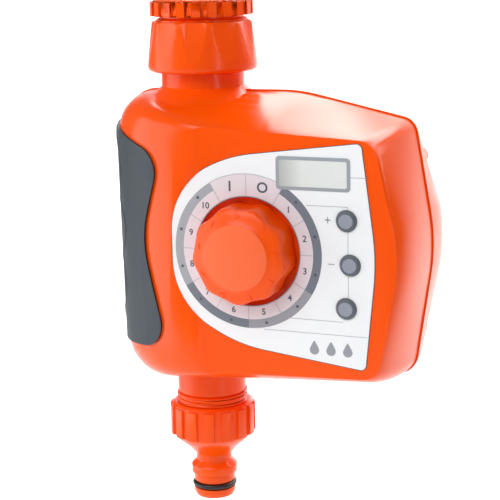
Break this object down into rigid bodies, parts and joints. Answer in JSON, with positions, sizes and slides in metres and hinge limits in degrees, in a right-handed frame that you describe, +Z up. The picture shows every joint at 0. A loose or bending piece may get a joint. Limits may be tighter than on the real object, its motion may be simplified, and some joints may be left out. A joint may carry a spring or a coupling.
{
  "type": "drip irrigation timer",
  "caption": "Battery drip irrigation timer: moulded case with dial, display and buttons, swivel tap fitting on top, motorised ball valve and click-fit hose connector below.",
  "frame": {"origin": "centre of the tap thread's mouth, on the axis of the water pipe", "axes": "+Z up along the pipe, -Y out of the control panel, +X to the right seen from the front"},
  "size_m": [0.1196, 0.071, 0.188],
  "materials": {
    "orange_plastic": "gloss moulded ABS",
    "knob_orange": "gloss moulded plastic",
    "grip_rubber": "matte soft rubber",
    "black_rubber": "satin rubber",
    "white_nylon": "satin",
    "gear_acetal": "satin",
    "steel": "brushed",
    "printed_panel": "printed satin film",
    "clear_window": "clear",
    "display": "satin",
    "button_grey": "satin",
    "dark_plastic": "satin",
    "switch_blue": "satin",
    "board_green": "lacquered board",
    "cell_wrap": "printed wrap",
    "lead_red": "gloss insulation",
    "lead_black": "gloss insulation"
  },
  "bodies": {
    "timer_body": {"inlet_gasket": "black_rubber", "inlet_filter": "white_nylon", "valve_body": "white_nylon", "ball_seats": "white_nylon", "stem_orings": "black_rubber", "outlet_union": "orange_plastic", "union_oring": "black_rubber", "front_shell": "orange_plastic", "rear_shell": "orange_plastic", "front_grip": "grip_rubber", "rear_grip": "grip_rubber", "shell_seal": "black_rubber", "shell_screws": "steel", "panel_plate": "printed_panel", "lcd_lens": "clear_window", "lcd_module": "display", "knob_seal": "black_rubber", "rotary_switch": "switch_blue", "pcb": "board_green", "pcb_screws": "steel", "tact_switches": "dark_plastic", "controller_chip": "dark_plastic", "gearbox_base": "gear_acetal", "gearbox_cover": "gear_acetal", "gearbox_screws": "steel", "gear_axles": "steel", "motor": "steel", "limit_switches": "dark_plastic", "battery_box": "dark_plastic", "battery_1": "cell_wrap", "battery_2": "cell_wrap", "battery_contacts": "steel", "door_seal": "black_rubber", "door_hinge_pin": "steel", "motor_leads": "lead_red", "battery_leads": "lead_black"},
    "inlet_nut": {"inlet_nut": "orange_plastic"},
    "reducer_gasket": {"reducer_gasket": "black_rubber"},
    "tap_reducer": {"tap_reducer": "orange_plastic"},
    "connector_gasket": {"connector_gasket": "black_rubber"},
    "hose_connector": {"hose_connector": "orange_plastic", "connector_oring": "black_rubber"},
    "knob": {"program_knob": "knob_orange", "knob_shaft": "steel"},
    "plus_button": {"button_plus": "button_grey", "plunger_plus": "dark_plastic"},
    "minus_button": {"button_minus": "button_grey", "plunger_minus": "dark_plastic"},
    "run_button": {"button_run": "button_grey", "plunger_run": "dark_plastic"},
    "battery_door": {"battery_door": "orange_plastic"},
    "valve": {"valve_ball": "steel", "valve_stem": "steel", "output_gear": "gear_acetal"},
    "gear_2": {"gear_2": "gear_acetal"},
    "gear_1": {"gear_1": "gear_acetal"},
    "motor_pinion": {"motor_pinion": "steel"}
  },
  "joints": [
    {"name": "nut_swivel", "type": "hinge", "parent": "timer_body", "child": "inlet_nut", "pos_m": [0, 0, -0.017], "axis": [0, 0, 1], "continuous": true},
    {"name": "reducer_lift", "type": "slide", "parent": "inlet_nut", "child": "reducer_gasket", "axis": [0, 0, 1], "range_m": [0, 0.0104]},
    {"name": "reducer_unscrew", "type": "hinge", "parent": "reducer_gasket", "child": "tap_reducer", "pos_m": [0, 0, -0.009], "axis": [0, 0, 1], "range_deg": [0, 1620]},
    {"name": "connector_drop", "type": "slide", "parent": "timer_body", "child": "connector_gasket", "axis": [0, 0, -1], "range_m": [0, 0.0109]},
    {"name": "connector_unscrew", "type": "hinge", "parent": "connector_gasket", "child": "hose_connector", "pos_m": [0, 0, -0.16], "axis": [0, 0, -1], "range_deg": [0, 2160]},
    {"name": "knob_turn", "type": "hinge", "parent": "timer_body", "child": "knob", "pos_m": [0.029, -0.03, -0.0847], "axis": [0, -1, 0], "continuous": true},
    {"name": "plus_press", "type": "slide", "parent": "timer_body", "child": "plus_button", "axis": [0, 1, 0], "range_m": [0, 0.0008], "stiffness_N_per_m": 400, "springref_m": -0.0005},
    {"name": "minus_press", "type": "slide", "parent": "timer_body", "child": "minus_button", "axis": [0, 1, 0], "range_m": [0, 0.0008], "stiffness_N_per_m": 400, "springref_m": -0.0005},
    {"name": "run_press", "type": "slide", "parent": "timer_body", "child": "run_button", "axis": [0, 1, 0], "range_m": [0, 0.0008], "stiffness_N_per_m": 400, "springref_m": -0.0005},
    {"name": "door_swing", "type": "hinge", "parent": "timer_body", "child": "battery_door", "pos_m": [0.0336, 0.0258, -0.0935], "axis": [0, 0, 1], "range_deg": [0, 110]},
    {"name": "valve_turn", "type": "hinge", "parent": "timer_body", "child": "valve", "pos_m": [0, 0, -0.1], "axis": [1, 0, 0], "range_deg": [0, 90]},
    {"name": "gear_2_spin", "type": "hinge", "parent": "timer_body", "child": "gear_2", "pos_m": [0.02, 0.00602, -0.08432], "axis": [1, 0, 0], "range_deg": [-270, 0]},
    {"name": "gear_1_spin", "type": "hinge", "parent": "timer_body", "child": "gear_1", "pos_m": [0.024, 0, -0.06863], "axis": [1, 0, 0], "range_deg": [0, 810]},
    {"name": "motor_spin", "type": "hinge", "parent": "timer_body", "child": "motor_pinion", "pos_m": [0.025, 0.00602, -0.05295], "axis": [1, 0, 0], "range_deg": [-2430, 0]}
  ],
  "couplings": [
    {"joint": "reducer_lift", "follows": "reducer_unscrew", "m_per_rad": 0.00036749},
    {"joint": "connector_drop", "follows": "connector_unscrew", "m_per_rad": 0.00028871},
    {"joint": "gear_2_spin", "follows": "valve_turn", "ratio": -3},
    {"joint": "gear_1_spin", "follows": "valve_turn", "ratio": 9},
    {"joint": "motor_spin", "follows": "valve_turn", "ratio": -27}
  ]
}
